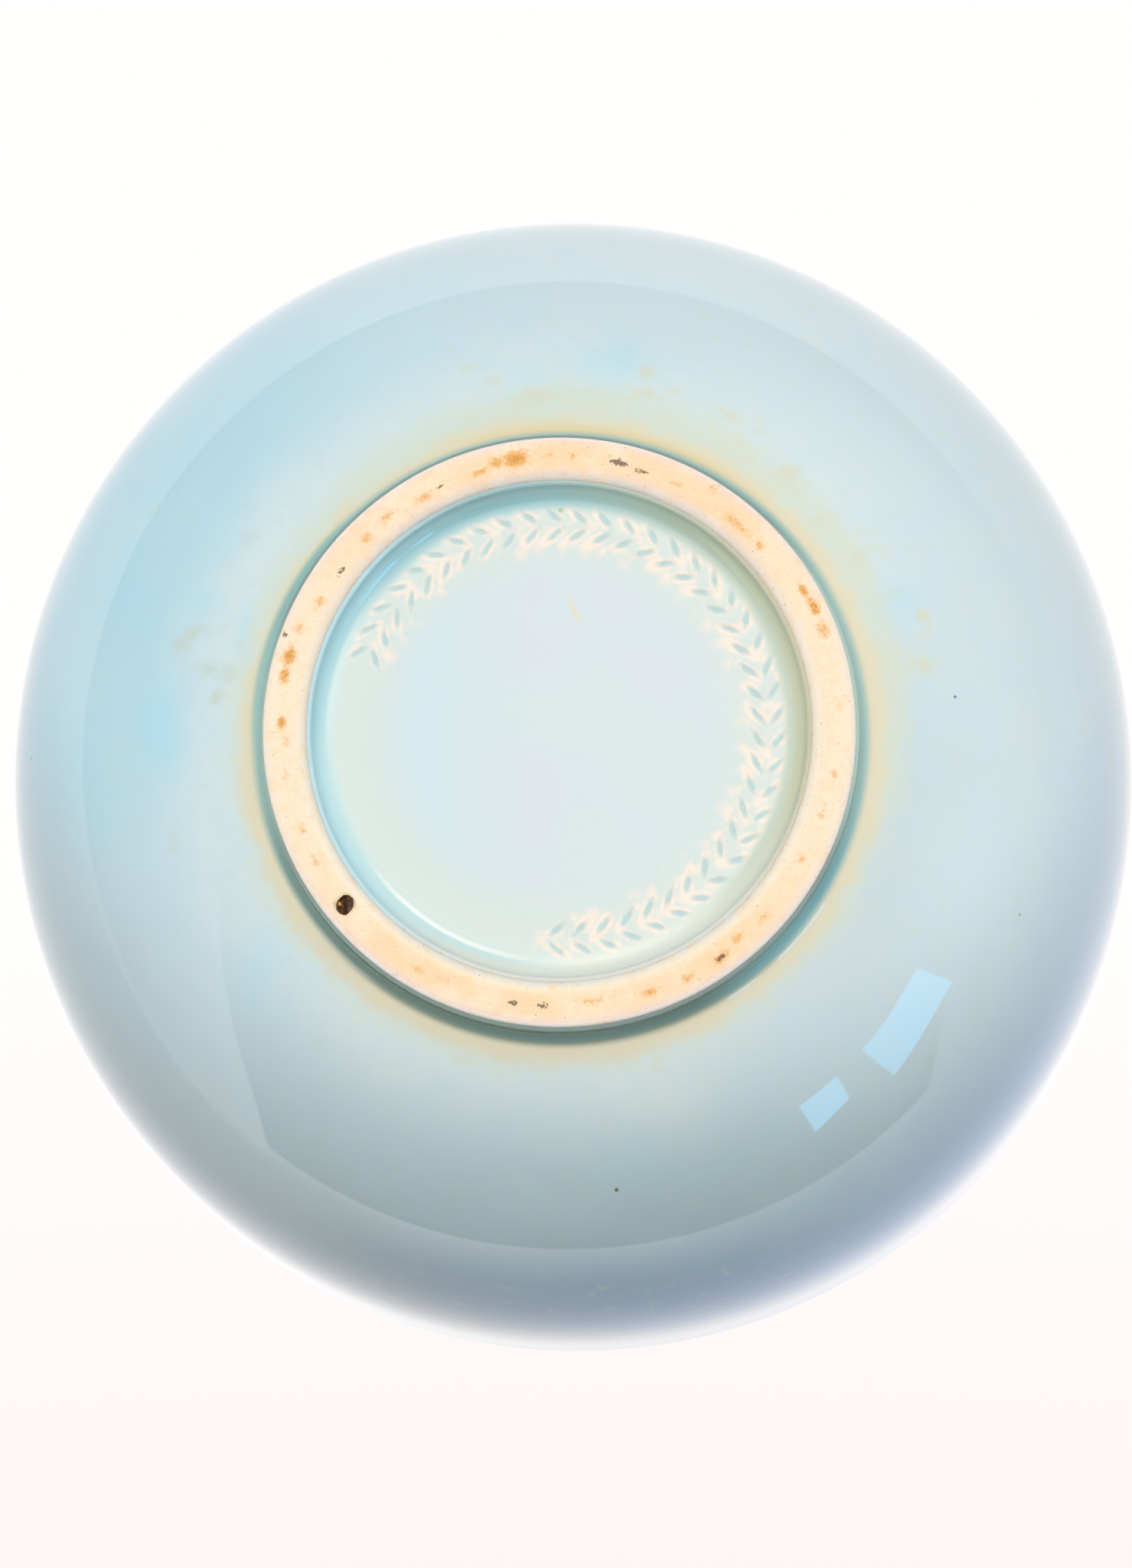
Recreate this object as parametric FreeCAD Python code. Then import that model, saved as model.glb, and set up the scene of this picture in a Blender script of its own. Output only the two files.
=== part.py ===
import FreeCAD, Part
import math
import os

# A small glazed bowl standing on its foot ring. The origin is the centre of the
# ring's tread, +Z points to the opening, and all lengths are millimetres.

V = FreeCAD.Vector

# Outer form, measured over the glaze
rim_diameter = 144.0
bowl_height = 58.0
lip_thickness = 3.0
lip_slope = 74.0  # degrees of the wall above the horizontal, at the lip
foot_slope = 9.0  # degrees of the wall above the horizontal, beside the foot
lip_pull_share = 0.50  # of the wall's chord, how far the lip's direction is held
foot_pull_share = 0.46  # of the wall's chord, how far the foot's direction is held

# Clay body
wall_thickness = 3.7  # beside the foot, clay only
foot_diameter = 58.0
foot_height = 5.4
foot_draft = 8.0  # degrees
foot_root_round = 1.0
wall_lead = 2.9  # straight start of the wall, from the foot's root corner
tread_width = 4.0
tread_outer_round = 0.8
tread_inner_round = 1.1
recess_depth = 2.9
recess_draft = 15.0  # degrees
recess_round = 1.0

# Glaze coats
glaze_thickness = 0.35
outer_pool_round = 2.7  # surface of the glaze pooled in the foot's root
recess_pool_round = 2.0  # surface of the glaze pooled round the recess
outer_bare_height = 0.9  # bare clay left above the tread, outside
inner_bare_height = 0.8  # bare clay left above the tread, inside

# Stamped wheat-ear band in the floor of the recess
band_radius = 20.7
band_start = 18.0  # degrees about +Z
band_sweep = 256.0  # degrees
band_pairs = 38
leaf_length = 2.5
leaf_width = 0.8
leaf_depth = 0.6
leaf_row_offset = 0.95  # of each row of leaves from the band's middle line
leaf_tilt = 38.0  # degrees between a leaf and the band's middle line
dimple_depth = 0.22  # what the glaze leaves open over each leaf

# Iron speck in the tread
speck_diameter = 1.9
speck_depth = 0.6
speck_sink = 0.06  # of its face above the tread
speck_angle = -40.0  # degrees about +Z

cut_overrun = 0.2  # of each stamping tool past the face that it cuts


def at(r, z):
    return V(r, 0, z)


def heading(degrees):
    """Unit direction in the profile plane, degrees above the outward radius."""
    a = math.radians(degrees)
    return V(math.cos(a), 0, math.sin(a))


# Directions that every outline shares
side_up = heading(90.0 - foot_draft)
side_out = heading(-foot_draft)
wall_up = heading(foot_slope)
wall_out = heading(foot_slope - 90.0)
lip_up = heading(lip_slope)
lip_out = heading(lip_slope - 90.0)
recess_up = heading(90.0 + recess_draft)
recess_out = heading(180.0 + recess_draft)
floor_out = heading(-90.0)

# Points of the clay that the glaze coats follow
foot_radius = foot_diameter / 2
tread_inner_radius = foot_radius - tread_width
lip_centre = at(rim_diameter / 2 - lip_thickness / 2, bowl_height - lip_thickness / 2)
clay_lip_round = lip_thickness / 2 - glaze_thickness
root_corner = at(foot_radius, 0) + side_up * (foot_height / side_up.z)
recess_corner = at(tread_inner_radius, 0) + recess_up * (recess_depth / recess_up.z)


def line(a, b):
    return Part.LineSegment(a, b).toShape()


def arc(centre, radius, start, end):
    """Arc between two directions from its centre, given in degrees."""
    angles = (start, (start + end) / 2, end)
    ends = [centre + heading(a) * radius for a in angles]
    return Part.Arc(*ends).toShape()


def corner_arc(before, corner, after, radius):
    """Arc that rounds a corner between two straight runs."""
    back = (before - corner).normalize()
    on = (after - corner).normalize()
    half = back.getAngle(on) / 2
    start = corner + back * (radius / math.tan(half))
    end = corner + on * (radius / math.tan(half))
    inward = (back + on).normalize()
    middle = corner + inward * (radius / math.sin(half) - radius)
    return Part.Arc(start, middle, end).toShape()


def moved_corner(corner, out_a, out_b, coat):
    """Where two faces meet once both stand a coat's thickness further out."""
    return corner + (out_a + out_b) * (coat / (1 + out_a.dot(out_b)))


def first(edge):
    return edge.valueAt(edge.FirstParameter)


def last(edge):
    return edge.valueAt(edge.LastParameter)


def wall_curve(start, end):
    """Full belly of the wall: one smooth curve from beside the foot to the lip."""
    chord = (end - start).Length
    curve = Part.BezierCurve()
    curve.setPoles([
        start,
        start + wall_up * (foot_pull_share * chord),
        end - lip_up * (lip_pull_share * chord),
        end,
    ])
    return curve.toShape()


def outer_side(coat, root_round, bottom):
    """Outside, from a point on the foot's side up to the lip's crest."""
    root = moved_corner(root_corner, side_out, wall_out, coat)
    wall_start = root_corner + wall_up * wall_lead + wall_out * coat
    root_arc = corner_arc(bottom, root, wall_start, root_round)
    lip = arc(lip_centre, clay_lip_round + coat, lip_slope - 90.0, lip_slope)
    return [
        line(bottom, first(root_arc)),
        root_arc,
        line(last(root_arc), wall_start),
        wall_curve(wall_start, first(lip)),
        lip,
    ]


def inner_side(coat):
    """Inside, from the lip's crest down the wall and the dished floor to the axis."""
    lip = arc(lip_centre, clay_lip_round + coat, lip_slope, lip_slope + 90.0)
    wall_start = root_corner + wall_up * wall_lead - wall_out * (wall_thickness + coat)
    dish_radius = wall_start.x / math.sin(math.radians(foot_slope))
    dish_centre = wall_start - wall_out * dish_radius
    dish = arc(dish_centre, dish_radius, -90.0, foot_slope - 90.0)
    return [lip, wall_curve(wall_start, last(lip)), dish]


def recess_side(coat, corner_round, bottom):
    """Underside, from the axis along the recess floor and down the ring's inner side."""
    corner = moved_corner(recess_corner, recess_out, floor_out, coat)
    centre = at(0, corner.z)
    corner_edge = corner_arc(centre, corner, bottom, corner_round)
    return [
        line(centre, first(corner_edge)),
        corner_edge,
        line(last(corner_edge), bottom),
    ]


def revolved(edges):
    face = Part.Face(Part.Wire(Part.__sortEdges__(edges)))
    return face.revolve(V(0, 0, 0), V(0, 0, 1), 360)


def leaf_tools(depth, face_z):
    """Pointed four-sided stamps of all the leaves, pressed up from a level face."""
    tools = []
    grow = (depth + cut_overrun) / depth
    for pair in range(band_pairs):
        turn = band_start + band_sweep * (pair + 0.5) / band_pairs
        for row in (-1, 1):
            along = V(leaf_length / 2 * grow, 0, 0)
            across = V(0, leaf_width / 2 * grow, 0)
            base = [along, across, along * -1, across * -1]
            tip = V(0, 0, depth + cut_overrun)
            faces = [Part.Face(Part.makePolygon(base + base[:1]))]
            for i in range(len(base)):
                faces.append(Part.Face(Part.makePolygon([base[i - 1], base[i], tip, base[i - 1]])))
            tool = Part.makeSolid(Part.makeShell(faces))
            tool.rotate(V(0, 0, 0), V(0, 0, 1), 90.0 + row * leaf_tilt)
            tool.translate(V(band_radius + row * leaf_row_offset, 0, face_z - cut_overrun))
            tool.rotate(V(0, 0, 0), V(0, 0, 1), turn)
            tools.append(tool)
    return tools


def speck_ball():
    """Ball whose top cap is the pit that the speck melted into the tread."""
    half = speck_diameter / 2
    radius = (half ** 2 + speck_depth ** 2) / (2 * speck_depth)
    ball = Part.makeSphere(radius)
    ball.translate(V(tread_inner_radius + tread_width / 2, 0, speck_depth - radius))
    ball.rotate(V(0, 0, 0), V(0, 0, 1), speck_angle)
    return ball


def clay_body():
    tread_inner = at(tread_inner_radius, 0)
    tread_outer = at(foot_radius, 0)
    inner_arc = corner_arc(recess_corner, tread_inner, tread_outer, tread_inner_round)
    outer_arc = corner_arc(tread_inner, tread_outer, root_corner, tread_outer_round)
    under = recess_side(0, recess_round, first(inner_arc))
    outside = outer_side(0, foot_root_round, last(outer_arc))
    inside = inner_side(0)
    tread = line(last(inner_arc), first(outer_arc))
    axis = line(first(inside[-1]), first(under[0]))
    body = revolved(under + [inner_arc, tread, outer_arc] + outside + inside + [axis])
    return body.cut(leaf_tools(leaf_depth, recess_depth) + [speck_ball()])


def coat_edge(bottom, up, out):
    """Rounded edge of a coat, ending on the clay at a point."""
    centre = bottom + up * glaze_thickness
    middle = centre + (out - up).normalize() * glaze_thickness
    return Part.Arc(bottom, middle, centre + out * glaze_thickness).toShape()


def outer_glaze():
    bottom = at(foot_radius, 0) + side_up * (outer_bare_height / side_up.z)
    edge = coat_edge(bottom, side_up, side_out)
    under = outer_side(0, foot_root_round, bottom)
    surface = outer_side(glaze_thickness, outer_pool_round, last(edge))
    crest = line(last(under[-1]), last(surface[-1]))
    return revolved(under + [crest] + surface + [edge])


def liner_glaze():
    under = inner_side(0)
    surface = inner_side(glaze_thickness)
    crest = line(first(under[0]), first(surface[0]))
    axis = line(first(under[-1]), first(surface[-1]))
    return revolved(under + surface + [crest, axis])


def recess_glaze():
    bottom = at(tread_inner_radius, 0) + recess_up * (inner_bare_height / recess_up.z)
    edge = coat_edge(bottom, recess_up, recess_out)
    under = recess_side(0, recess_round, bottom)
    surface = recess_side(glaze_thickness, recess_pool_round, last(edge))
    axis = line(first(under[0]), first(surface[0]))
    coat = revolved(under + surface + [edge, axis])
    filled = coat.fuse(leaf_tools(leaf_depth, recess_depth))
    face_z = recess_depth - glaze_thickness
    return filled.cut(leaf_tools(dimple_depth, face_z)).removeSplitter()


def iron_fleck():
    ball = speck_ball()
    box = ball.BoundBox
    below = Part.makeBox(box.XLength, box.YLength, speck_sink - box.ZMin)
    below.translate(V(box.XMin, box.YMin, box.ZMin))
    return ball.cut(below)


os.makedirs("parts", exist_ok=True)
for make in (clay_body, outer_glaze, liner_glaze, recess_glaze, iron_fleck):
    make().exportStep("parts/" + make.__name__ + ".step")
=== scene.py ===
import math

import bpy
import numpy
from mathutils import Matrix, Vector


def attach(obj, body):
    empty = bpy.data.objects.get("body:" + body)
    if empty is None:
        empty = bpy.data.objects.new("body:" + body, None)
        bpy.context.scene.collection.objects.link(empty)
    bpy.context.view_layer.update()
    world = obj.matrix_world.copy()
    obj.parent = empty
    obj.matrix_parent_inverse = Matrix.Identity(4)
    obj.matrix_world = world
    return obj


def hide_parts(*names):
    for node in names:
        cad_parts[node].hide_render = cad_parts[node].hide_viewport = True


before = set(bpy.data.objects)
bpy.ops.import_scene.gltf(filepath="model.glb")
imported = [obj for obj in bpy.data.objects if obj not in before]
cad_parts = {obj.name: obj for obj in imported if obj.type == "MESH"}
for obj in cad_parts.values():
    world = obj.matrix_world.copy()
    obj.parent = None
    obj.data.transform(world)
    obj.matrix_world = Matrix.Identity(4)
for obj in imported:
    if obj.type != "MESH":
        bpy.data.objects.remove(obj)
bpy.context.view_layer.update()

# The fired body is one piece of cream stoneware. It is thrown on the wheel as
# a full bowl, turned underneath to leave the foot ring, and fired. It shows
# only on the ring's tread and a narrow strip each side of it.

mm = 0.001

rim_radius = 72.0 * mm
bowl_height = 58.0 * mm
lip_round = 1.5 * mm
lip_slope = 74.0
foot_slope = 9.0
lip_pull_share = 0.50
foot_pull_share = 0.46
clay_wall = 3.7 * mm
foot_radius = 29.0 * mm
foot_height = 5.4 * mm
foot_draft = 8.0
clay_root_round = 1.0 * mm
wall_lead = 2.9 * mm
tread_inner_radius = 25.0 * mm
tread_outer_round = 0.8 * mm
tread_inner_round = 1.1 * mm
recess_depth = 2.9 * mm
recess_draft = 15.0
clay_recess_round = 1.0 * mm
glaze = 0.35 * mm

# How many steps the wheel's turn, the bare tread and the hidden clay are made in
wheel_steps = 720
tread_steps = 20
tread_edge_steps = 8
under_foot_steps = 6
hidden_steps = 4


def heading(degrees):
    """Unit direction in the outline's plane, degrees above the outward radius."""
    a = math.radians(degrees)
    return Vector((math.cos(a), 0.0, math.sin(a)))


def at(r, z):
    return Vector((r, 0.0, z))


side_up = heading(90.0 - foot_draft)
side_out = heading(-foot_draft)
wall_up = heading(foot_slope)
wall_out = heading(foot_slope - 90.0)
lip_up = heading(lip_slope)
recess_up = heading(90.0 + recess_draft)
recess_out = heading(180.0 + recess_draft)
floor_out = heading(-90.0)
lip_centre = at(rim_radius - lip_round, bowl_height - lip_round)
root_corner = at(foot_radius, 0) + side_up * (foot_height / side_up.z)
recess_corner = at(tread_inner_radius, 0) + recess_up * (recess_depth / recess_up.z)


def straight(a, b, steps):
    return [a.lerp(b, i / steps) for i in range(steps + 1)]


def round_run(centre, radius, start, end, steps):
    turns = [start + (end - start) * i / steps for i in range(steps + 1)]
    return [centre + heading(a) * radius for a in turns]


def rounded_corner(before, corner, after, radius, steps):
    """Points of the arc that rounds a corner between two straight runs."""
    back = (before - corner).normalized()
    on = (after - corner).normalized()
    half = back.angle(on) / 2
    centre = corner + (back + on).normalized() * (radius / math.sin(half))
    first = corner + back * (radius / math.tan(half)) - centre
    last = corner + on * (radius / math.tan(half)) - centre
    return [centre + first.slerp(last, i / steps) * radius for i in range(steps + 1)]


def moved_corner(corner, out_a, out_b, coat):
    return corner + (out_a + out_b) * (coat / (1 + out_a.dot(out_b)))


def belly_run(start, end, steps):
    """Full belly of the wall, one smooth curve from beside the foot to the lip."""
    chord = (end - start).length
    a = start + wall_up * (foot_pull_share * chord)
    b = end - lip_up * (lip_pull_share * chord)
    points = []
    for i in range(steps + 1):
        t = i / steps
        s = 1 - t
        points.append(start * s**3 + a * (3 * s * s * t) + b * (3 * s * t * t) + end * t**3)
    return points


def outer_outline(coat, root_round, bottom, fine):
    """Outside, from a point low on the foot's side up to the lip's crest."""
    root = moved_corner(root_corner, side_out, wall_out, coat)
    wall_start = root_corner + wall_up * wall_lead + wall_out * coat
    root_arc = rounded_corner(bottom, root, wall_start, root_round, fine)
    radius = lip_round - glaze + coat
    lip = round_run(lip_centre, radius, lip_slope - 90.0, lip_slope, fine)
    side = straight(bottom, root_arc[0], max(2, fine // 2))
    return side[:-1] + root_arc + belly_run(wall_start, lip[0], 5 * fine) + lip[1:]


def inner_outline(coat, fine):
    """Inside, from the lip's crest down the wall and the dished floor to the axis."""
    radius = lip_round - glaze + coat
    lip = round_run(lip_centre, radius, lip_slope, lip_slope + 90.0, fine)
    wall_start = root_corner + wall_up * wall_lead - wall_out * (clay_wall + coat)
    dish = wall_start.x / math.sin(math.radians(foot_slope))
    centre = at(0, (wall_start - wall_out * dish).z)
    floor = round_run(centre, dish, foot_slope - 90.0, -90.0, 2 * fine)
    wall = belly_run(wall_start, lip[-1], 5 * fine)
    return lip + wall[-2::-1] + floor[1:]


def recess_outline(coat, corner_round, bottom, fine):
    """Underside in three runs: the axis, the floor's rounded corner and the ring's side."""
    corner = moved_corner(recess_corner, recess_out, floor_out, coat)
    centre = at(0, corner.z)
    edge = rounded_corner(centre, corner, bottom, corner_round, fine)
    side = straight(edge[-1], bottom, max(2, fine // 2))
    return [centre], edge, side[1:]


def throw(name, outline, turns):
    """Draws an outline point by point beside the axis, then turns it round the axis."""
    bpy.ops.object.select_all(action="DESELECT")
    bpy.ops.mesh.primitive_plane_add(size=mm)
    piece = bpy.context.object
    piece.name = name
    bpy.ops.object.mode_set(mode="EDIT")
    bpy.ops.mesh.merge(type="CENTER")
    bpy.ops.transform.translate(value=outline[0])
    for here, there in zip(outline, outline[1:]):
        bpy.ops.mesh.extrude_region_move(TRANSFORM_OT_translate={"value": there - here})
    bpy.ops.object.mode_set(mode="OBJECT")
    wheel = piece.modifiers.new("wheel", "SCREW")
    wheel.axis = "Z"
    wheel.angle = math.tau
    wheel.steps = turns
    wheel.render_steps = turns
    bpy.ops.object.modifier_apply(modifier="wheel")
    bpy.ops.object.mode_set(mode="EDIT")
    bpy.ops.mesh.select_all(action="SELECT")
    bpy.ops.mesh.remove_doubles(threshold=0.001 * mm)
    bpy.ops.mesh.delete_loose()
    bpy.ops.mesh.select_all(action="SELECT")
    bpy.ops.mesh.normals_make_consistent(inside=False)
    bpy.ops.object.mode_set(mode="OBJECT")
    bpy.ops.object.shade_smooth()
    return piece


def points_of(piece):
    """The x, y and z of every point of a piece, as three rows."""
    places = numpy.empty(3 * len(piece.data.vertices))
    piece.data.vertices.foreach_get("co", places)
    return places.reshape(-1, 3).T


def push(piece, chosen, way, reach):
    """Pushes the chosen points of the piece being made, drawing those in reach along."""
    bpy.ops.object.mode_set(mode="EDIT")
    bpy.ops.mesh.select_mode(type="VERT")
    bpy.ops.mesh.select_all(action="DESELECT")
    bpy.ops.object.mode_set(mode="OBJECT")
    piece.data.vertices.foreach_set("select", chosen)
    bpy.ops.object.mode_set(mode="EDIT")
    bpy.ops.transform.translate(value=way, use_proportional_edit=True,
                                proportional_edit_falloff="SMOOTH", proportional_size=reach)
    bpy.ops.object.mode_set(mode="OBJECT")


tread_inner = at(tread_inner_radius, 0)
tread_outer = at(foot_radius, 0)
inner_arc = rounded_corner(recess_corner, tread_inner, tread_outer, tread_inner_round,
                           tread_edge_steps)
outer_arc = rounded_corner(tread_inner, tread_outer, root_corner, tread_outer_round,
                           tread_edge_steps)
floor_run, corner_run, side_run = recess_outline(0, clay_recess_round, inner_arc[0],
                                                 under_foot_steps)
tread_run = straight(inner_arc[-1], outer_arc[0], tread_steps)
clay_outline = floor_run + corner_run + side_run + inner_arc[1:] + tread_run[1:]
clay_outline += outer_arc[1:]
clay_outline += outer_outline(0, clay_root_round, outer_arc[-1], hidden_steps)[1:]
clay_outline += inner_outline(0, hidden_steps)[1:]
clay = throw("fired_body", clay_outline, wheel_steps)

# The pit that a grain of iron ore melted into the tread
speck_radius = 0.95 * mm
speck_ring_radius = 27.0 * mm
speck_angle = math.radians(-40.0)
speck_place = Vector((math.cos(speck_angle), math.sin(speck_angle), 0)) * speck_ring_radius
pit_radius = 0.97 * speck_radius
pit_depth = 0.5 * mm
pit_edge = 0.25 * mm
tread_reach = 0.1 * mm

x, y, z = points_of(clay)
in_pit = (numpy.hypot(x - speck_place.x, y - speck_place.y) < pit_radius) & (z < tread_reach)
push(clay, in_pit, (0, 0, pit_depth), pit_edge)


def rgb(r, g, b):
    return (r, g, b, 1.0)


class Shading:
    """The nodes of one finish, or of the room's light."""

    def __init__(self, tree):
        self.tree = tree

    def node(self, kind, inputs=(), **settings):
        """Adds a shader node, with a value or a link in each named input."""
        made = self.tree.nodes.new("ShaderNode" + kind)
        for key, value in settings.items():
            setattr(made, key, value)
        for key, value in dict(inputs).items():
            if isinstance(value, bpy.types.NodeSocket):
                self.tree.links.new(value, made.inputs[key])
            else:
                made.inputs[key].default_value = value
        return made

    def reckon(self, how, a, b=0.0):
        return self.node("Math", {0: a, 1: b}, operation=how).outputs[0]

    def plus(self, a, b):
        return self.reckon("ADD", a, b)

    def minus(self, a, b):
        return self.reckon("SUBTRACT", a, b)

    def times(self, a, b):
        return self.reckon("MULTIPLY", a, b)

    def larger(self, a, b):
        return self.reckon("MAXIMUM", a, b)

    def shade(self, name, start, end, source):
        """Share that rises smoothly from 0 at start to 1 at end."""
        made = self.node("MapRange", {"Value": source, "From Min": start, "From Max": end},
                         interpolation_type="SMOOTHSTEP", label=name)
        return made.outputs["Result"]

    def mix(self, share, under, colour, how="MIX"):
        """One colour over another by a share."""
        made = self.node("Mix", {0: share, 6: under, 7: colour},
                         data_type="RGBA", blend_type=how)
        return made.outputs[2]


class Finish(Shading):
    """A finish built up in layers of colour, by where each point of the piece lies.

    Sizes, depths and distances from the axis are in mm. Directions are in degrees about
    the axis: as the bowl is seen from underneath, 0 is on the left, 90 at the top, 180
    on the right and -90 at the bottom.
    """

    def __init__(self, name, roughness=0.5):
        self.material = bpy.data.materials.new(name)
        self.material.use_nodes = True
        super().__init__(self.material.node_tree)
        self.surface = self.tree.nodes["Principled BSDF"]
        self.surface.inputs["Roughness"].default_value = roughness
        self.where = self.node("TexCoord").outputs["Object"]
        self.x, self.y, self.z = self.node("SeparateXYZ", {0: self.where}).outputs
        level = self.node("CombineXYZ", {0: self.x, 1: self.y}).outputs[0]
        away = self.node("VectorMath", {0: level}, operation="LENGTH")
        self.radius = away.outputs["Value"]

    def radial(self, name, start, end, radius=None):
        """Share that rises between two distances from the axis."""
        return self.shade(name, start * mm, end * mm, radius or self.radius)

    def side(self, name, degrees, start, end):
        """Share that rises as a point's direction nears the given one, by their cosine."""
        a = math.radians(degrees)
        towards = self.plus(self.times(self.x, math.cos(a)), self.times(self.y, math.sin(a)))
        return self.shade(name, start, end, self.reckon("DIVIDE", towards, self.radius))

    def grain(self, size, detail=2.0, spread=0.5, where=None):
        """Cloudy pattern with patches of about the given size, from 0 to 1."""
        made = self.node("TexNoise", {"Vector": where or self.where, "Scale": 1 / (size * mm),
                                      "Detail": detail, "Roughness": spread})
        return made.outputs["Fac"]

    def patches(self, name, start, end, size, detail=2.0, spread=0.5):
        """Share that rises between two levels of a cloudy pattern."""
        return self.shade(name, start, end, self.grain(size, detail, spread))

    def painted(self, layer):
        """What was painted on the points of the piece."""
        return self.node("Attribute", attribute_name=layer).outputs["Fac"]

    def broken(self, layer, size, start, end, depth=0.9):
        """Share of a painted layer, with its edge broken up by grain of the given size."""
        rough = self.times(self.plus(self.grain(size, 4, 0.6), -0.5), depth)
        return self.shade("broken", start, end, self.plus(self.painted(layer), rough))

    def lay(self, share, colour, strength=1.0, how="MIX"):
        """Lays a colour over what is there already, by a share and a strength."""
        if strength < 1.0:
            share = self.times(share, strength)
        self.colour = self.mix(share, self.colour, colour, how)

    def relief(self, height, depth):
        """Fine unevenness of the surface."""
        made = self.node("Bump", {"Height": height, "Distance": depth * mm})
        self.tree.links.new(made.outputs[0], self.surface.inputs["Normal"])

    def put_on(self, piece, shader=None):
        """Puts the finish on a piece, with its layers of colour or with a given shader."""
        if shader:
            output = self.tree.nodes["Material Output"]
            self.tree.links.new(shader.outputs[0], output.inputs["Surface"])
            self.tree.nodes.remove(self.surface)
        else:
            self.tree.links.new(self.colour, self.surface.inputs["Base Color"])
        piece.data.materials.append(self.material)


def paint(piece, layer, dabs):
    """Keeps on every point how strongly soft oval dabs cover it, seen along the axis.

    A dab is its place, its half length and half width, the way it lies and its strength.
    """
    across, up = points_of(piece)[:2]
    cover = numpy.zeros(len(across))
    for x, y, half_length, half_width, lie, strength in dabs:
        a = math.radians(lie)
        right = across - x * mm
        back = up - y * mm
        along = (right * math.cos(a) + back * math.sin(a)) / (half_length * mm)
        aside = (back * math.cos(a) - right * math.sin(a)) / (half_width * mm)
        cover = numpy.maximum(cover, strength * numpy.exp(-(along**2 + aside**2)))
    piece.data.attributes.new(layer, "FLOAT", "POINT").data.foreach_set("value", cover)


def along_ring(marks):
    """Dabs that lie along the foot ring."""
    softness = 1.3
    dabs = []
    for angle, r, half_length, half_width, strength in marks:
        a = math.radians(angle)
        dabs.append((r * math.cos(a), r * math.sin(a), softness * half_length,
                     softness * half_width, angle + 90, strength))
    return dabs


# Each mark's angle about the axis, radius, half length, half width and strength
rust_marks = (
    (81, 27.1, 1.1, 0.7, 1.0), (77, 27.1, 0.6, 0.5, 0.8), (73, 26.6, 0.8, 0.3, 0.7),
    (88, 27.2, 0.5, 0.4, 0.5), (93, 27.1, 0.5, 0.4, 0.5), (60, 26.5, 0.8, 0.4, 0.6),
    (51, 27.0, 0.6, 0.4, 0.6), (45, 26.8, 0.5, 0.4, 0.6), (28, 26.6, 0.6, 0.4, 0.6),
    (21, 27.4, 0.4, 0.4, 0.6), (15, 27.4, 0.8, 0.5, 1.0), (11, 27.4, 0.7, 0.4, 0.9),
    (1, 27.1, 0.6, 0.4, 0.9), (-3, 26.6, 0.4, 0.3, 0.5), (-10, 27.1, 0.6, 0.3, 0.4),
    (-22, 26.8, 0.5, 0.3, 0.5), (-29, 27.0, 0.5, 0.3, 0.5), (-60, 27.2, 0.5, 0.3, 0.6),
    (-67, 26.9, 1.2, 0.3, 0.3), (-97, 26.8, 1.0, 0.3, 0.5), (-109, 27.2, 0.6, 0.4, 0.7),
    (-117, 27.4, 0.6, 0.4, 0.6), (-125, 27.4, 0.8, 0.4, 0.7), (-130, 26.9, 0.6, 0.4, 0.6),
    (-137, 27.1, 0.8, 0.4, 0.5), (-151, 26.9, 0.5, 0.3, 0.5), (-161, 27.0, 0.5, 0.3, 0.5),
    (-170, 27.2, 0.4, 0.3, 0.6), (116, 26.8, 0.7, 0.3, 0.5), (123, 28.1, 0.5, 0.4, 0.5),
    (131, 26.7, 1.4, 0.4, 0.6), (138, 26.7, 0.6, 0.4, 0.6), (151, 27.5, 0.6, 0.3, 1.0),
    (155, 27.7, 0.8, 0.4, 1.0), (160, 27.6, 0.8, 0.6, 0.6), (176, 27.4, 0.6, 0.4, 0.3),
)
char_marks = (
    (103, 27.0, 0.7, 0.3, 0.9), (108, 26.7, 0.8, 0.2, 0.6), (64, 26.7, 0.3, 0.1, 0.9),
    (36, 26.5, 0.5, 0.2, 0.7), (19, 28.5, 0.2, 0.2, 0.9), (-81, 27.1, 0.4, 0.2, 0.8),
    (-87, 27.1, 0.4, 0.2, 0.8), (-125, 27.4, 0.5, 0.2, 0.8),
)
paint(clay, "rust", along_ring(rust_marks))
paint(clay, "char", along_ring(char_marks))

bare = Finish("bare_stoneware", roughness=0.62)
bare.colour = bare.mix(bare.side("south", -90, -0.2, 0.8),
                       rgb(0.93, 0.69, 0.53), rgb(0.97, 0.84, 0.62))
bare.lay(bare.radial("middle", 25.3, 26.5), rgb(0.96, 0.72, 0.45))
bare.lay(bare.radial("outer edge", 27.7, 28.6), rgb(0.95, 0.72, 0.57))
# Painted highlight: the tread's outermost rounded edge is painted pale lavender
bare.lay(bare.radial("outermost", 28.5, 28.9), rgb(0.97, 0.88, 0.86))
bare.lay(bare.radial("inner roll", 25.7, 25.0), rgb(0.78, 0.81, 0.82), 0.6)
both_sides = bare.larger(bare.side("left", 0, 0.55, 1.0), bare.side("right", 180, 0.55, 1.0))
cloud = bare.larger(bare.patches("cloud", 0.40, 0.70, 5, 6, 0.62), both_sides)
bare.lay(cloud, rgb(0.97, 0.87, 0.69), 0.65)
bare.lay(bare.patches("mottle", 0.48, 0.66, 1.3, 4, 0.6), rgb(0.97, 0.68, 0.38), 0.35)
turned = bare.node("CombineXYZ", {0: bare.radius, 1: bare.times(bare.x, 0.02)}).outputs[0]
turning_lines = bare.grain(0.30, 3, where=turned)
bare.lay(bare.shade("turning lines", 0.5, 0.8, turning_lines), rgb(0.93, 0.62, 0.40), 0.25)
freckle = bare.times(bare.patches("freckle", 0.60, 0.78, 0.9, 5, 0.65),
                     bare.radial("off the inner edge", 25.8, 26.6))
bare.lay(freckle, rgb(0.88, 0.50, 0.24), 0.55)
bare.lay(bare.broken("rust", 0.8, 0.06, 0.6, 1.3), rgb(0.92, 0.54, 0.25), 0.65)
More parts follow.
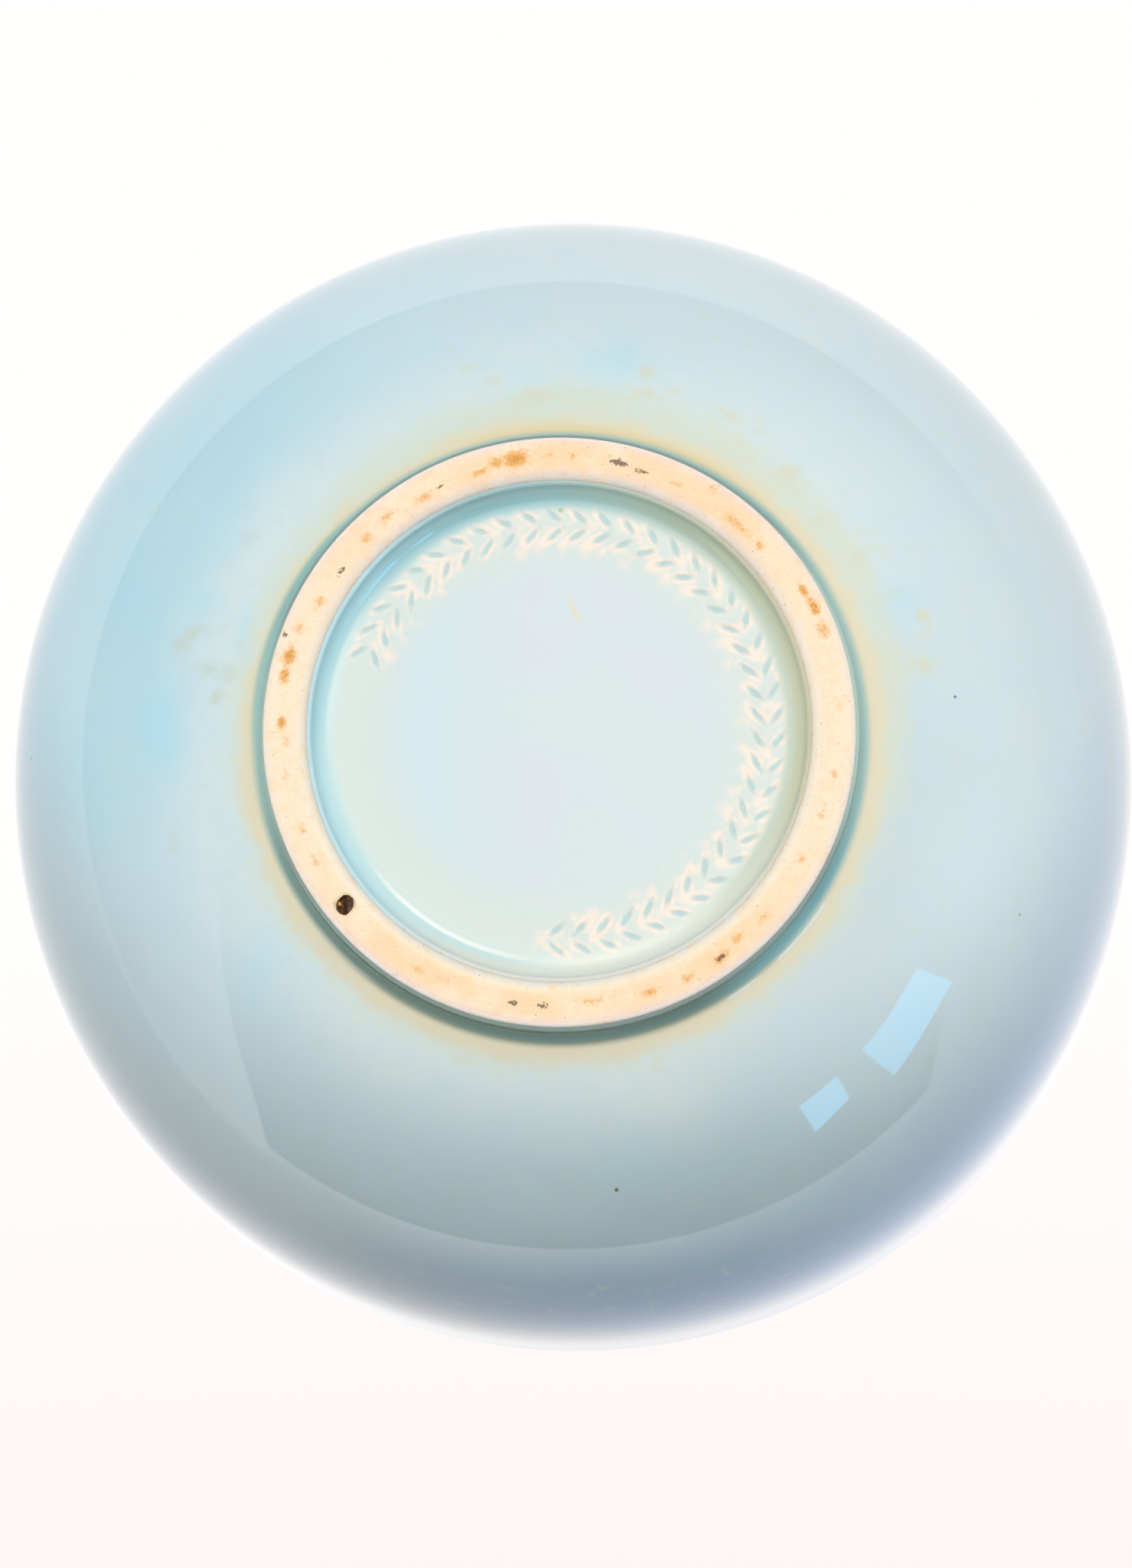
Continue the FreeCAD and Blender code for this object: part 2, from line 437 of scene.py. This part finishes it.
bare.lay(bare.broken("rust", 0.40, 0.28, 0.85, 1.8), rgb(0.88, 0.42, 0.09), 0.85)
bare.lay(bare.broken("rust", 0.30, 0.62, 1.05, 2.0), rgb(0.52, 0.24, 0.04), 0.55)
char = bare.broken("char", 0.28, 0.36, 0.62, 2.4)
bare.lay(char, rgb(0.16, 0.09, 0.06), 0.85)
tooth = bare.plus(bare.grain(0.35, 4), bare.times(turning_lines, 0.8))
bare.relief(bare.minus(tooth, bare.times(char, 1.5)), 0.03)

bare.put_on(clay)
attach(clay, "root")
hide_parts("clay_body")

# The recess coat is the glaze inside the foot ring. It is poured in and swirled
# over a wheat-ear band stamped in the clay, and it stays thick and teal in the
# stamped leaves and round the corner, and thin and cream between the leaves.

inner_bare_height = 0.8 * mm
recess_pool_round = 2.0 * mm
plain_floor_radius = 18.4 * mm
band_radius = 20.7 * mm
band_start = 18.0
band_sweep = 256.0
band_pairs = 38
leaf_length = 2.5 * mm
leaf_width = 0.8 * mm
leaf_row_offset = 0.95 * mm
leaf_tilt = 38.0
leaf_dip = 0.22 * mm
vein_half_width = 0.075 * mm
recess_face = recess_depth - glaze

# The steps are fine where the leaves are pressed, and coarse on the plain floor
recess_turns = 960
plain_floor_steps = 8
band_floor_steps = 36
recess_corner_steps = 14
lap_steps = 4


def coat_edge(bottom, up, out, steps):
    """Rounded edge of a coat, ending on the clay at a point."""
    centre = bottom + up * glaze
    return [centre + (-up).slerp(out, i / steps) * glaze for i in range(steps + 1)]


inner_bare = at(tread_inner_radius, 0) + recess_up * (inner_bare_height / recess_up.z)
inner_lap = coat_edge(inner_bare, recess_up, recess_out, lap_steps)
middle, pool, side = recess_outline(glaze, recess_pool_round, inner_lap[-1], recess_corner_steps)
plain_end = at(plain_floor_radius, recess_face)
recess_points = straight(middle[0], plain_end, plain_floor_steps)
recess_points += straight(plain_end, pool[0], band_floor_steps)[1:]
recess_points += pool[1:] + side + inner_lap[-2::-1]
under_middle, under_corner, under_side = recess_outline(0, clay_recess_round, inner_bare,
                                                        hidden_steps)
recess_points += (under_middle + under_corner + under_side)[-2::-1]
recess_coat = throw("recess_coat", recess_points, recess_turns)


def leaves():
    """The middle of each leaf of the band, and the way the leaf lies, in degrees."""
    found = []
    for pair in range(band_pairs):
        turn = band_start + band_sweep * (pair + 0.5) / band_pairs
        for row in (-1, 1):
            r = band_radius + row * leaf_row_offset
            a = math.radians(turn)
            found.append((r * math.cos(a), r * math.sin(a), turn + 90 + row * leaf_tilt))
    return found


def vein_share(piece):
    """How far out along its leaf each point on a leaf's vein is, and 2 off the veins."""
    x, y, z = points_of(piece)
    share = numpy.full(len(x), 2.0)
    for leaf_x, leaf_y, lie in leaves():
        a = math.radians(lie)
        right = x - leaf_x
        back = y - leaf_y
        along = abs(right * math.cos(a) + back * math.sin(a)) / (leaf_length / 2)
        aside = abs(back * math.cos(a) - right * math.sin(a))
        on_vein = (aside < vein_half_width) & (along < 1) & (z < recess_face + glaze / 2)
        share[on_vein] = along[on_vein]
    return share


# A leaf is pressed in three goes, each longer and narrower, as shares of its size
leaf_presses = ((0.30, 0.62), (0.62, 0.50), (0.92, 0.36))
vein = vein_share(recess_coat)
for length_share, width_share in leaf_presses:
    push(recess_coat, vein < length_share, (0, 0, leaf_dip / len(leaf_presses)),
         width_share * leaf_width)


def leaf_dabs(size):
    """One dab for each leaf of the band, at the given size against the leaf's own."""
    half_length = size * leaf_length / 2 / mm
    half_width = size * leaf_width / 2 / mm
    return [(x / mm, y / mm, half_length, half_width, lie, 1.0) for x, y, lie in leaves()]


paint(recess_coat, "leaf", leaf_dabs(0.85))
paint(recess_coat, "thin", leaf_dabs(2.1))


def oval(finish, place, half_sizes, lie=0, half_depth=50):
    """Share of an oval spot seen along the axis, for one too small to paint on points."""
    half_length, half_width = half_sizes
    spot = finish.node("Mapping", {
        "Vector": finish.where,
        "Location": (place[0] * mm, place[1] * mm, 0),
        "Rotation": (0, 0, math.radians(lie)),
        "Scale": (half_length * mm, half_width * mm, half_depth * mm),
    }, vector_type="TEXTURE")
    away = finish.node("VectorMath", {0: spot.outputs[0]}, operation="LENGTH")
    return finish.shade("oval", 1.0, 0.4, away.outputs["Value"])


poured = Finish("recess_glaze", roughness=0.06)
poured.colour = poured.mix(poured.patches("cloud", 0.35, 0.65, 11, 3),
                           rgb(0.69, 0.79, 0.79), rgb(0.71, 0.77, 0.81))
poured.lay(poured.shade("left of the middle", 2 * mm, 12 * mm, poured.x), rgb(0.66, 0.79, 0.82))
uneven = poured.plus(poured.radius, poured.times(poured.grain(5, 3), 1.6 * mm))
poured.lay(poured.radial("towards the band", 15.5, 20.5, uneven), rgb(0.71, 0.79, 0.74))
mottle = poured.plus(poured.patches("mottle", 0.40, 0.62, 2.2, 4), 0.5)
thin = poured.times(poured.painted("thin"), mottle)
poured.lay(poured.shade("thin glaze", 0.2, 1.0, thin), rgb(0.94, 0.84, 0.73))
poured.lay(poured.broken("leaf", 0.6, 0.20, 0.85), rgb(0.50, 0.69, 0.69), 0.85)

# The corner and the upright side are painted pale on the south, a painted light, and left dark
# teal on the north, a painted shade, over the pooled glaze's own teal; the east is olive and the
# west bluer
corner = poured.mix(poured.side("east", 180, -0.3, 0.9),
                    rgb(0.38, 0.61, 0.64), rgb(0.60, 0.68, 0.57))
corner = poured.mix(poured.side("south", -90, 0.50, 1.0), corner, rgb(0.86, 0.88, 0.79))
corner = poured.mix(poured.side("west", 0, 0.7, 1.0), corner, rgb(0.66, 0.83, 0.80))
south_west = poured.side("south west", -45, 0.60, 0.95)
corner = poured.mix(south_west, corner, rgb(0.54, 0.75, 0.75))
upright = poured.mix(poured.side("east", 180, -0.3, 0.8),
                     rgb(0.42, 0.63, 0.62), rgb(0.62, 0.64, 0.45))
upright = poured.mix(poured.side("south", -90, 0.1, 0.9), upright, rgb(0.74, 0.79, 0.71))
upright = poured.mix(poured.side("west", 0, 0.3, 0.9), upright, rgb(0.53, 0.81, 0.87))
pushed_out = poured.minus(poured.radius, poured.times(south_west, 0.15 * mm))
poured.lay(poured.radial("pooled corner", 21.9, 23.0, pushed_out), corner)
poured.lay(poured.radial("upright side", 22.9, 23.8, pushed_out), upright)

# Painted shade: the lap is painted a little darker over its lit edge, and the upright side below
# it darker on the north and north west
lap = poured.radial("lap", 24.2, 24.7)
poured.lay(lap, rgb(0.92, 0.88, 0.92), how="MULTIPLY")
painted_north_shade = poured.larger(poured.side("north west", 60, 0.1, 1.0),
                         poured.side("north", 90, 0.1, 1.0))
below_lap = poured.minus(poured.radial("on the side", 22.9, 23.4), lap)
poured.lay(poured.times(painted_north_shade, below_lap), rgb(0.73, 0.84, 0.88), how="MULTIPLY")
# Painted highlight: a bright line round the foot of the corner on the south west, where the
# glint lamp's reflection also falls
painted_highlight_line = poured.times(poured.radial("bright line's inside", 22.4, 22.7),
                           poured.radial("bright line's outside", 23.15, 22.85))
painted_highlight_line = poured.times(painted_highlight_line, poured.side("bright stretch", -60, 0.88, 1.0))
poured.lay(painted_highlight_line, rgb(0.92, 0.93, 0.89), 0.75)
scratch = oval(poured, (-1.6, 11.9), (2.1, 0.34), 66)
poured.lay(scratch, rgb(0.79, 0.75, 0.52), 0.7)
green_fleck = oval(poured, (-0.2, 22.2), (0.35, 0.3))
poured.lay(green_fleck, rgb(0.45, 0.52, 0.25), 0.8)
poured.relief(poured.grain(3), 0.012)

poured.put_on(recess_coat)
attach(recess_coat, "root")
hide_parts("recess_glaze")

# The outer coat is the pale turquoise glaze of the outside. The bowl is dipped
# in it and the foot wiped, so it ends in a rounded lap just above the tread and
# has run down to a thick teal line in the foot's root.

outer_bare_height = 0.9 * mm
outer_pool_round = 2.7 * mm
outer_steps = 13
under_outer_steps = 3

outer_bare = at(foot_radius, 0) + side_up * (outer_bare_height / side_up.z)
outer_lap = coat_edge(outer_bare, side_up, side_out, lap_steps)
coat_face = outer_outline(glaze, outer_pool_round, outer_lap[-1], outer_steps)
coat_under = outer_outline(0, clay_root_round, outer_bare, under_outer_steps)
outer_coat = throw("outer_coat", outer_lap + coat_face[1:] + coat_under[::-1], wheel_steps)

# Where the glaze lies thicker and bluer, and where it is stained, as dabs
deep_patches = (
    (-6, 39, 6.0, 3.0, 0, 0.6), (4, 38, 3.5, 2.0, 0, 0.4), (0, 41, 4.0, 2.0, 0, 0.3),
    (32, 10, 4.0, 1.2, 90, 0.8), (41, 1, 5.0, 3.0, 90, 1.0), (45, 17, 5.0, 2.5, 90, 0.6),
    (37, 14, 3.0, 3.0, 0, 0.5), (34, 21, 3.0, 3.0, 0, 0.4), (-34, 13, 3.5, 3.0, 90, 0.6),
    (30, -24, 6.0, 4.0, 90, 0.5), (49, -6, 7.0, 4.0, 80, 0.5),
)
stains = (
    (2, 35, 3.2, 1.0, -5, 0.9), (-4, 34, 2.8, 1.0, 5, 0.7), (-9, 35, 1.8, 0.8, 15, 0.8),
    (-12, 36, 1.8, 0.7, 20, 0.6), (-17, 33, 2.3, 1.0, 25, 0.7), (-21, 32, 1.5, 0.7, 30, 0.6),
    (10, 39, 0.9, 0.6, 0, 0.6), (7, 37, 1.5, 0.9, 0, 0.6), (-9, 38, 1.5, 0.6, 20, 0.6),
    (-23, 26, 2.2, 2.0, 0, 0.8), (-27, 22, 1.6, 1.6, 0, 0.8), (-30, 18, 2.5, 1.6, 100, 0.8),
    (-33, 19, 1.4, 1.0, 0, 0.6), (-33, 14, 1.4, 0.9, 90, 0.6), (-37, 12, 0.9, 0.9, 0, 0.8),
    (-37, 10, 0.7, 0.6, 0, 0.6), (-33, 7, 2.4, 1.5, 0, 0.8), (-37, 7, 1.4, 1.0, 0, 0.7),
    (-34, 4, 1.4, 1.4, 0, 0.5), (-18, 29, 2.9, 1.6, 30, 0.6), (39, 10, 1.4, 1.4, 0, 0.7),
    (37, 11, 1.3, 1.0, 0, 0.7), (40, 8, 1.0, 0.9, 0, 0.6), (36, 7, 1.3, 1.0, 0, 0.7),
    (34, 6, 1.3, 1.0, 0, 0.8), (35, 4, 1.1, 0.9, 90, 0.8), (32, 21, 1.4, 0.8, 0, 0.6),
    (39, -11, 1.7, 1.0, 90, 0.4), (-10, -33, 1.0, 1.0, 0, 0.6), (9, -33, 1.4, 0.7, 0, 0.5),
)
paint(outer_coat, "deep", deep_patches)
paint(outer_coat, "stain", stains)

dipped = Finish("turquoise_glaze", roughness=0.035)
broad = dipped.grain(20, 3)
# The belly is painted darker to the south, a painted shade, and greyer to the south west. It is
# paler and warmer on the east, partly the glaze's own colour and partly a painted reflection.
# Near the foot it is a little darker to the east.
belly = dipped.mix(dipped.side("west", 0, -0.1, 0.9),
                   rgb(0.62, 0.755, 0.79), rgb(0.47, 0.71, 0.81))
belly = dipped.mix(dipped.side("south", -90, 0.3, 0.95), belly, rgb(0.51, 0.67, 0.71))
greyer = dipped.times(dipped.side("south west", -40, 0.72, 1.0), 0.7)
belly = dipped.mix(greyer, belly, rgb(0.56, 0.69, 0.72))
near_foot = dipped.mix(dipped.side("south", -90, 0.0, 0.9),
                       rgb(0.67, 0.79, 0.79), rgb(0.67, 0.77, 0.76))
near_foot = dipped.mix(dipped.side("east", -155, 0.55, 0.95), near_foot,
                       rgb(0.87, 0.90, 0.94), "MULTIPLY")
uneven = dipped.plus(dipped.radius, dipped.times(broad, 10 * mm))
dipped.colour = dipped.mix(dipped.radial("belly", 39, 50, uneven), near_foot, belly)
dipped.lay(dipped.shade("broad", 0.35, 0.7, broad), rgb(0.66, 0.79, 0.81), 0.25)
dipped.lay(dipped.patches("fine", 0.45, 0.75, 5, 5, 0.6), rgb(0.50, 0.72, 0.80), 0.22)
# Painted shade: towards the lip on the south side the wall is painted dark grey blue, and the
# front of the belly darker still
painted_shade_lip = dipped.times(dipped.radial("towards the lip", 53, 64),
                        dipped.side("south", -90, 0.3, 0.95))
dipped.lay(painted_shade_lip, rgb(0.32, 0.45, 0.53))
front = dipped.times(dipped.radial("front of the belly", 52, 57),
                     dipped.side("south", -90, 0.85, 1.0))
dipped.lay(front, rgb(0.78, 0.82, 0.86), how="MULTIPLY")
# Painted light: away from the south the wall is painted paler towards the lip
painted_light_lip = dipped.times(dipped.radial("towards the lip", 57, 67),
                        dipped.side("but not south", -90, 0.5, -0.2))
dipped.lay(painted_light_lip, rgb(0.68, 0.81, 0.85), 0.8)
dipped.lay(dipped.broken("deep", 4, 0.0, 1.2), rgb(0.44, 0.74, 0.85), 0.8)
stain_tint = dipped.mix(dipped.side("west", 0, 0.0, 0.8),
                        rgb(0.69, 0.70, 0.53), rgb(0.58, 0.67, 0.60))
dipped.lay(dipped.broken("stain", 2.0, 0.05, 0.95, 1.9), stain_tint, 0.8)

# The cream halo round the foot, where the glaze ran thin, has a faint wispy edge
wisps = dipped.times(dipped.grain(5, 6, 0.66), 5 * mm)
wide_side = dipped.times(dipped.side("wide side", 125, -0.2, 0.95), -2.2 * mm)
reach = dipped.plus(dipped.plus(dipped.radius, wisps), wide_side)
dipped.lay(dipped.radial("faint halo", 38.0, 34.0, reach), rgb(0.69, 0.73, 0.59), 0.7)
wisps = dipped.times(dipped.grain(3.2, 6, 0.66), 3.5 * mm)
drawn_in = dipped.times(dipped.side("north west", 35, 0.75, 1.0), 1.0 * mm)
reach = dipped.plus(dipped.plus(dipped.radius, wisps), drawn_in)
cream = dipped.mix(dipped.side("south", -90, -0.1, 0.9),
                   rgb(0.78, 0.70, 0.49), rgb(0.74, 0.67, 0.48))
dipped.lay(dipped.radial("halo", 35.5, 33.6, reach), cream, 0.85)
honey = dipped.times(dipped.radial("honey", 32.5, 31.3), dipped.side("north", 102, 0.80, 0.97))
dipped.lay(honey, rgb(0.80, 0.64, 0.32), 0.5)

# The thick teal line in the root, darkest where it turns down to the foot's side.
# Its darker south side, its wider south stretch and its darkest strip are partly the thick glaze
# and partly painted shade from the foot ring.
teal = dipped.mix(dipped.side("south", -90, -0.1, 0.9),
                  rgb(0.21, 0.46, 0.44), rgb(0.11, 0.21, 0.17))
teal = dipped.mix(dipped.side("south east", -150, 0.82, 1.0), teal, rgb(0.18, 0.43, 0.45))
teal = dipped.mix(dipped.shade("neck", 3.0 * mm, 0.9 * mm, dipped.z), teal,
                  rgb(0.23, 0.31, 0.28))
paler = dipped.larger(dipped.side("right side", 172, 0.78, 1.0),
                      dipped.times(dipped.side("left side", 0, 0.90, 1.0), 0.6))
teal = dipped.mix(dipped.times(paler, 0.85), teal, rgb(0.40, 0.61, 0.56))
wider = dipped.plus(dipped.times(dipped.side("wider south", -90, -0.3, 0.9), 0.15 * mm),
                    dipped.times(dipped.side("wider left", 22, 0.88, 1.0), 0.35 * mm))
root = dipped.radial("root line", 31.45, 30.4, dipped.minus(dipped.radius, wider))
dipped.lay(root, teal)

# Pinhead kiln spots, as place, half size and colour
kiln_spots = (
    ((-5.6, -45.6), 0.30, rgb(0.25, 0.20, 0.08)),
    ((-40.0, 3.8), 0.22, rgb(0.10, 0.22, 0.38)),
    ((58.3, -0.8), 0.24, rgb(0.20, 0.42, 0.52)),
    ((-46.9, -18.1), 0.22, rgb(0.35, 0.48, 0.52)),
)
for place, half_size, tint in kiln_spots:
    dipped.lay(oval(dipped, place, (half_size, half_size), half_depth=90), tint)
dipped.relief(dipped.grain(7), 0.015)

dipped.put_on(outer_coat)
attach(outer_coat, "root")
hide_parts("outer_glaze")

# The liner coat is the same pale glaze inside the bowl, poured in and out. It
# meets the outer coat on the crest of the lip.

liner_steps = 11
under_liner_steps = 3

liner_points = inner_outline(glaze, liner_steps)
liner_points += inner_outline(0, under_liner_steps)[::-1]
liner_points.append(liner_points[0])
liner_coat = throw("liner_coat", liner_points, wheel_steps)

lining = Finish("liner_glaze", roughness=0.05)
lining.colour = lining.mix(lining.patches("cloud", 0.3, 0.7, 24),
                           rgb(0.55, 0.72, 0.79), rgb(0.60, 0.75, 0.79))
lining.lay(lining.radial("pooled floor", 40, 12), rgb(0.47, 0.68, 0.75))
lining.lay(lining.patches("fine", 0.5, 0.75, 4, 5, 0.6), rgb(0.62, 0.78, 0.82), 0.2)
lining.relief(lining.grain(7), 0.015)

lining.put_on(liner_coat)
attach(liner_coat, "root")
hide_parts("liner_glaze")

# The iron speck is a grain of iron ore in the clay that melted in the firing
# and left a dark blistered bead in the tread.

speck_flat_share = 0.35
speck_rise = 0.36 * mm
dent_edge = 0.93 * speck_radius
dent_reach = 0.6 * mm

bpy.ops.object.select_all(action="DESELECT")
bpy.ops.mesh.primitive_uv_sphere_add(segments=48, ring_count=24, radius=speck_radius,
                                     location=speck_place + Vector((0, 0, speck_rise)),
                                     scale=(1, 1, speck_flat_share))
speck = bpy.context.object
speck.name = "iron_speck"
bpy.ops.object.transform_apply(location=True, rotation=True, scale=True)

# The bead is dented and swollen in four places, as direction and push in mm
for degrees, push_out in ((200, -0.16), (265, 0.10), (20, -0.10), (110, 0.08)):
    a = math.radians(degrees)
    way = Vector((math.cos(a), math.sin(a), 0))
    x, y = points_of(speck)[:2]
    out = (x - speck_place.x) * way.x + (y - speck_place.y) * way.y
    push(speck, out > dent_edge, way * push_out * mm, dent_reach)
bpy.ops.object.shade_smooth()

iron = Finish("melted_iron", roughness=0.22)
blister = iron.patches("blister", 0.42, 0.68, 0.45, 3)
iron.colour = iron.mix(blister, rgb(0.020, 0.006, 0.001), rgb(0.11, 0.04, 0.003))
# Painted glint: an amber patch on one side of the bead
amber_place = (speck_place.x / mm + 0.62, speck_place.y / mm + 0.10)
amber_glint = iron.times(oval(iron, amber_place, (0.38, 0.30), 20), blister)
iron.lay(amber_glint, rgb(0.80, 0.50, 0.06))
iron.relief(iron.grain(0.35, 3), 0.1)

iron.put_on(speck)
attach(speck, "root")
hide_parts("iron_fleck")

# The floor is a pale table that the bowl stands on, bright white in the
# distance. It is seen only from above, and light from below passes it.

floor_size = 6.0
floor_gap = 0.02 * mm
floor_fade_start = 0.35
floor_fade_end = 1.6


def blend(finish, share, shader, over):
    """One shader over another by a share."""
    return finish.node("MixShader", {0: share, 1: shader.outputs[0], 2: over.outputs[0]})


bpy.ops.object.select_all(action="DESELECT")
bpy.ops.mesh.primitive_plane_add(size=floor_size, location=(0, 0, -floor_gap))
table = bpy.context.object
table.name = "floor"
table.visible_shadow = False
table.visible_diffuse = False
table.visible_glossy = False

paper = Finish("pale_paper")
near = paper.node("BsdfDiffuse", {"Color": rgb(0.93, 0.93, 0.92)})
far = paper.node("Emission", {"Color": rgb(1, 1, 1)})
far_share = paper.shade("far", floor_fade_start, floor_fade_end, paper.radius)
above = blend(paper, far_share, near, far)
below = paper.node("BsdfTransparent")
from_below = paper.node("NewGeometry").outputs["Backfacing"]
paper.put_on(table, blend(paper, from_below, above, below))

# The room is white to the camera on every side, with a faint pink low down in
# front. Matt surfaces get its soft light, and the glaze mirrors a pale paper
# with a cool and a warm side.

room = bpy.data.worlds.new("room")
bpy.context.scene.world = room
room.use_nodes = True
room.node_tree.nodes.clear()
air = Shading(room.node_tree)
toward = air.node("TexCoord").outputs["Generated"]
toward_y, toward_z = air.node("SeparateXYZ", {0: toward}).outputs[1:]


def lean(way):
    """How nearly a direction in the room is the given one."""
    return air.node("VectorMath", {0: toward, 1: way}, operation="DOT_PRODUCT").outputs["Value"]


pink = air.times(air.shade("low in front", 0.10, -0.45, toward_y),
                 air.shade("overhead", 0.60, 0.75, toward_z))
backdrop = air.mix(pink, rgb(1, 1, 0.99), rgb(1, 0.90, 0.905))
to_camera = air.node("Background", {"Color": backdrop})

soft = air.mix(air.shade("from the side and above", -0.45, -0.05, toward_z),
               rgb(0.20, 0.20, 0.20), rgb(0.74, 0.74, 0.74))
to_matt = air.node("Background", {"Color": soft})

warm_side = air.shade("warm side", 0.55, 0.95, lean((-0.66, 0.12, -0.74)))
mirrored = air.mix(warm_side, rgb(0.14, 0.16, 0.18), rgb(1.3, 1.15, 1.05))
cool_side = air.shade("cool side", 0.2, 0.9, lean((-0.7, -0.7, 0)))
white_paper = air.mix(cool_side, rgb(1.15, 1.12, 1.12), rgb(0.95, 1.15, 1.65))
paper_edge = air.times(air.shade("by the paper's edge", -0.03, -0.15, toward_z),
                       air.shade("front side", -0.35, -0.8, toward_y))
white_paper = air.mix(paper_edge, white_paper, rgb(1.5, 1.5, 1.55))
mirrored = air.mix(air.shade("paper", -0.175, -0.160, toward_z), mirrored, white_paper)
to_glaze = air.node("Background", {"Color": mirrored})

ray = air.node("LightPath").outputs
matt_or_glaze = blend(air, ray["Is Glossy Ray"], to_matt, to_glaze)
seen = blend(air, ray["Is Camera Ray"], matt_or_glaze, to_camera)
air.node("OutputWorld", {"Surface": seen.outputs[0]})


def pane(name, wall, corners, colour, fade=None):
    """A lit pane on a side wall of the room, seen only in the glaze.

    Its corners are places along the wall and heights. It can fade along the wall.
    """
    bpy.ops.object.select_all(action="DESELECT")
    bpy.ops.mesh.primitive_circle_add(vertices=len(corners), radius=1, fill_type="NGON")
    made = bpy.context.object
    made.name = name
    for vertex, (along, height) in zip(made.data.vertices, corners):
        vertex.co = (wall, along, height)
    glow = Finish(name)
    light = glow.node("Emission", {"Color": colour})
    if fade:
        clear = glow.node("BsdfTransparent")
        light = blend(glow, glow.shade("fade", fade[0], fade[1], glow.y), clear, light)
    glow.put_on(made, light)
    made.visible_camera = False
    made.visible_diffuse = False
    made.visible_shadow = False


pane("large_window", wall=-1.0, colour=rgb(1.2, 3.7, 6.2),
     corners=((-0.50, -1.05), (-0.50, -0.65), (-0.89, -0.66), (-0.89, -1.17)))
pane("small_window", wall=-1.0, colour=rgb(1.4, 4.1, 6.7),
     corners=((-1.08, -1.28), (-1.11, -0.94), (-1.42, -0.99), (-1.41, -1.49)))
pane("left_wall", wall=1.0, colour=rgb(1.8, 1.8, 1.8), fade=(0.30, -1.0),
     corners=((-1.17, -0.18), (-1.01, -0.49), (-0.84, -0.72), (-0.69, -0.85),
              (-0.31, -1.20), (0.30, -1.32), (0.30, -0.10), (-1.17, -0.10)))
pane("right_wall", wall=-1.02, colour=rgb(1.3, 1.35, 1.4), fade=(0.20, -0.25),
     corners=((-0.92, -0.13), (-0.71, -0.45), (-0.54, -0.67), (-0.39, -0.83),
              (-0.27, -0.93), (0.20, -0.93), (0.20, -0.10), (-0.92, -0.10)))


def round_lamp(name, place, aim, radius, brightness):
    """A round lamp turned to a place, with the given brightness of its face."""
    lamp = bpy.data.lights.new(name, "AREA")
    lamp.shape = "DISK"
    lamp.size = 2 * radius
    lamp.energy = brightness * (math.pi * radius) ** 2
    made = bpy.data.objects.new(name, lamp)
    bpy.context.scene.collection.objects.link(made)
    made.location = place
    made.rotation_euler = (aim - place).to_track_quat("-Z", "Y").to_euler()
    return made


def softbox(name, place, aim, radius, level):
    """A round lamp that lights a surface facing it to the given level, unseen in the glaze."""
    share = radius**2 / (radius**2 + (place - aim).length ** 2)
    made = round_lamp(name, place, aim, radius, level / share)
    made.visible_glossy = False


softbox("underside_softbox", place=Vector((0.02, 0.07, -0.8)), aim=Vector((0, 0, 0)),
        radius=0.25, level=0.82)
softbox("overhead_softbox", place=Vector((0.25, -0.35, 0.85)), aim=Vector((0, 0, 0.03)),
        radius=0.30, level=0.25)

# A small lamp that only the recess mirrors, as a bright line round its corner
glint_lamp = round_lamp("glint_lamp", place=Vector((-0.10, 0.31, -0.945)) * 0.6,
                        aim=Vector((0, 0, 0)), radius=0.025, brightness=4.0)
only_recess = bpy.data.collections.new("lit_by_glint_lamp")
only_recess.objects.link(recess_coat)
glint_lamp.light_linking.receiver_collection = only_recess

# A black card with a round hole keeps the lower light off the front of the wall
hole_radius = 76 * mm
hole_place = Vector((0, 36, -55)) * mm
card_to_hole = 5
bpy.ops.object.select_all(action="DESELECT")
bpy.ops.mesh.primitive_circle_add(vertices=96, radius=hole_radius, location=hole_place)
card = bpy.context.object
card.name = "light_flag"
bpy.ops.object.mode_set(mode="EDIT")
bpy.ops.mesh.select_all(action="SELECT")
bpy.ops.mesh.extrude_region_move(TRANSFORM_OT_translate={"value": (0, 0, 0)})
bpy.ops.transform.resize(value=(card_to_hole, card_to_hole, 1))
bpy.ops.object.mode_set(mode="OBJECT")
card.visible_camera = False
card.visible_glossy = False
card.visible_diffuse = False
black = Finish("black_card")
black.put_on(card, black.node("BsdfDiffuse", {"Color": rgb(0.02, 0.02, 0.02)}))

# The camera looks up at the underside from below and a little to one side.

camera_place = Vector((-5.8, -22.05, -165.5)) * mm
camera_forward = Vector((0.030, 0.0985, 0.994)).normalized()
camera_right = Vector((-0.9995, 0.0, 0.030))
frame_height = 2048
focal_pixels = 2235

lens = bpy.data.cameras.new("camera")
lens.sensor_width = 36.0
lens.lens = focal_pixels / frame_height * lens.sensor_width
lens.clip_start = 0.01
camera = bpy.data.objects.new("camera", lens)
bpy.context.scene.collection.objects.link(camera)
level_right = (camera_right - camera_forward * camera_right.dot(camera_forward)).normalized()
camera_up = level_right.cross(camera_forward)
camera_turn = Matrix((level_right, camera_up, -camera_forward)).transposed()
camera.matrix_world = Matrix.Translation(camera_place) @ camera_turn.to_4x4()
bpy.context.scene.camera = camera

bpy.context.scene.view_settings.view_transform = "Standard"
